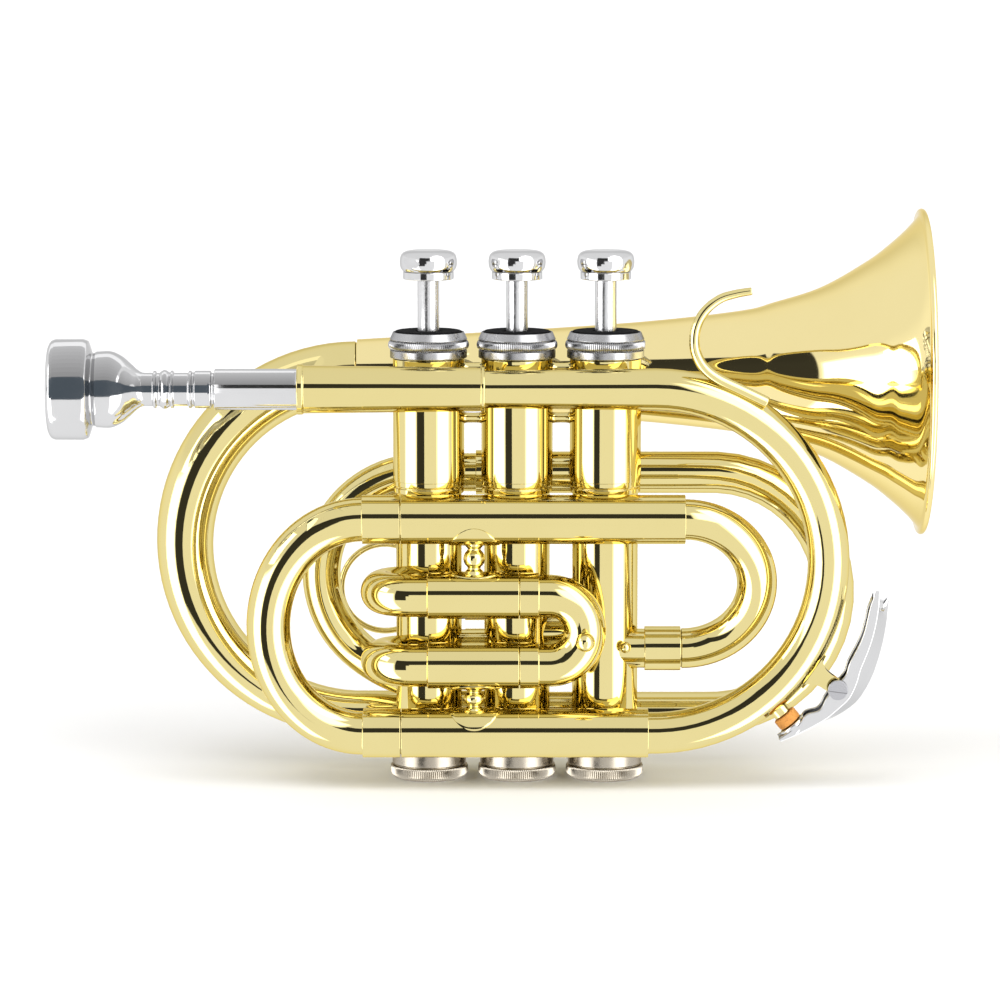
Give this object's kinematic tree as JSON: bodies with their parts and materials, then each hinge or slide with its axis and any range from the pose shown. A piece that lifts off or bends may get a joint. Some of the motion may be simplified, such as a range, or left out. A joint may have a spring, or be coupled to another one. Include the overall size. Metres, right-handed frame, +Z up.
{
  "type": "pocket trumpet",
  "caption": "Compact piston-valve trumpet with tightly wound lacquered brass tubing, flared bell, pull-out slides, water key, finger hook and silver mouthpiece.",
  "frame": {"origin": "under the middle of the whole instrument's box, on the plane that the three bottom caps stand on", "axes": "+X points the way the bell points, away from the mouthpiece; +Y points from the leadpipe side to the bell side; +Z points up the valves"},
  "size_m": [0.2528, 0.1046, 0.1637],
  "materials": {
    "lacquered_brass": "polished, clear lacquer",
    "silver_plate": "bright silver plate",
    "nickel_silver": "turned and polished nickel silver",
    "spring_steel": "bright steel",
    "black_felt": "pressed wool felt",
    "cork": "smooth cork"
  },
  "bodies": {
    "horn": {"valve_casing_1": "lacquered_brass", "valve_casing_2": "lacquered_brass", "valve_casing_3": "lacquered_brass", "valve_guide_1": "lacquered_brass", "valve_guide_2": "lacquered_brass", "valve_guide_3": "lacquered_brass", "valve_spring_1": "spring_steel", "valve_spring_2": "spring_steel", "valve_spring_3": "spring_steel", "stem_felt_1": "black_felt", "stem_felt_2": "black_felt", "stem_felt_3": "black_felt", "top_cap_1": "silver_plate", "top_cap_2": "silver_plate", "top_cap_3": "silver_plate", "bottom_cap_1": "nickel_silver", "bottom_cap_2": "nickel_silver", "bottom_cap_3": "nickel_silver", "mouthpiece_receiver": "lacquered_brass", "leadpipe": "lacquered_brass", "lower_main_sleeve": "lacquered_brass", "upper_main_sleeve": "lacquered_brass", "return_bow": "lacquered_brass", "valve_3_inlet": "lacquered_brass", "valve_link_1_2": "lacquered_brass", "valve_link_2_3": "lacquered_brass", "first_slide_outer_upper": "lacquered_brass", "first_slide_outer_lower": "lacquered_brass", "second_slide_outer_upper": "lacquered_brass", "second_slide_outer_lower": "lacquered_brass", "third_slide_outer_upper": "lacquered_brass", "third_slide_outer_lower": "lacquered_brass", "valve_1_outlet": "lacquered_brass", "rear_bow": "lacquered_brass", "bell_bow": "lacquered_brass", "bell": "lacquered_brass", "front_brace_upper": "lacquered_brass", "front_brace_lower": "lacquered_brass", "bell_brace": "lacquered_brass", "finger_hook": "lacquered_brass", "water_key_saddle": "lacquered_brass", "water_key_screw": "spring_steel"},
    "valve_1": {"piston_1": "nickel_silver", "valve_stem_1": "silver_plate", "finger_button_1": "silver_plate"},
    "valve_2": {"piston_2": "nickel_silver", "valve_stem_2": "silver_plate", "finger_button_2": "silver_plate"},
    "valve_3": {"piston_3": "nickel_silver", "valve_stem_3": "silver_plate", "finger_button_3": "silver_plate"},
    "mouthpiece": {"mouthpiece": "silver_plate"},
    "tuning_slide": {"main_tuning_slide": "lacquered_brass"},
    "first_valve_slide": {"first_slide": "lacquered_brass", "first_slide_knob": "lacquered_brass"},
    "second_valve_slide": {"second_slide": "lacquered_brass"},
    "third_valve_slide": {"third_slide": "lacquered_brass", "third_slide_ring": "lacquered_brass"},
    "water_key": {"water_key_lever": "silver_plate", "water_key_cork": "cork"}
  },
  "joints": [
    {"name": "valve_1_press", "type": "slide", "parent": "horn", "child": "valve_1", "axis": [0, 0, -1], "range_m": [0, 0.014], "stiffness_N_per_m": 150, "springref_m": -0.014, "deforming": ["valve_spring_1"]},
    {"name": "valve_2_press", "type": "slide", "parent": "horn", "child": "valve_2", "axis": [0, 0, -1], "range_m": [0, 0.014], "stiffness_N_per_m": 150, "springref_m": -0.014, "deforming": ["valve_spring_2"]},
    {"name": "valve_3_press", "type": "slide", "parent": "horn", "child": "valve_3", "axis": [0, 0, -1], "range_m": [0, 0.014], "stiffness_N_per_m": 150, "springref_m": -0.014, "deforming": ["valve_spring_3"]},
    {"name": "mouthpiece_pull", "type": "slide", "parent": "horn", "child": "mouthpiece", "axis": [-1, 0, 0], "range_m": [0, 0.025]},
    {"name": "tuning_slide_pull", "type": "slide", "parent": "horn", "child": "tuning_slide", "axis": [-1, 0, 0], "range_m": [0, 0.03]},
    {"name": "first_slide_pull", "type": "slide", "parent": "horn", "child": "first_valve_slide", "axis": [1, 0, 0], "range_m": [0, 0.014]},
    {"name": "second_slide_pull", "type": "slide", "parent": "horn", "child": "second_valve_slide", "axis": [0, 1, 0], "range_m": [0, 0.008]},
    {"name": "third_slide_pull", "type": "slide", "parent": "horn", "child": "third_valve_slide", "axis": [-1, 0, 0], "range_m": [0, 0.014]},
    {"name": "water_key_hinge", "type": "hinge", "parent": "horn", "child": "water_key", "pos_m": [0.09879, -0.03795, 0.02908], "axis": [0, -1, 0], "range_deg": [0, 12], "stiffness_Nm_per_rad": 0.08, "springref_deg": -22.92}
  ]
}
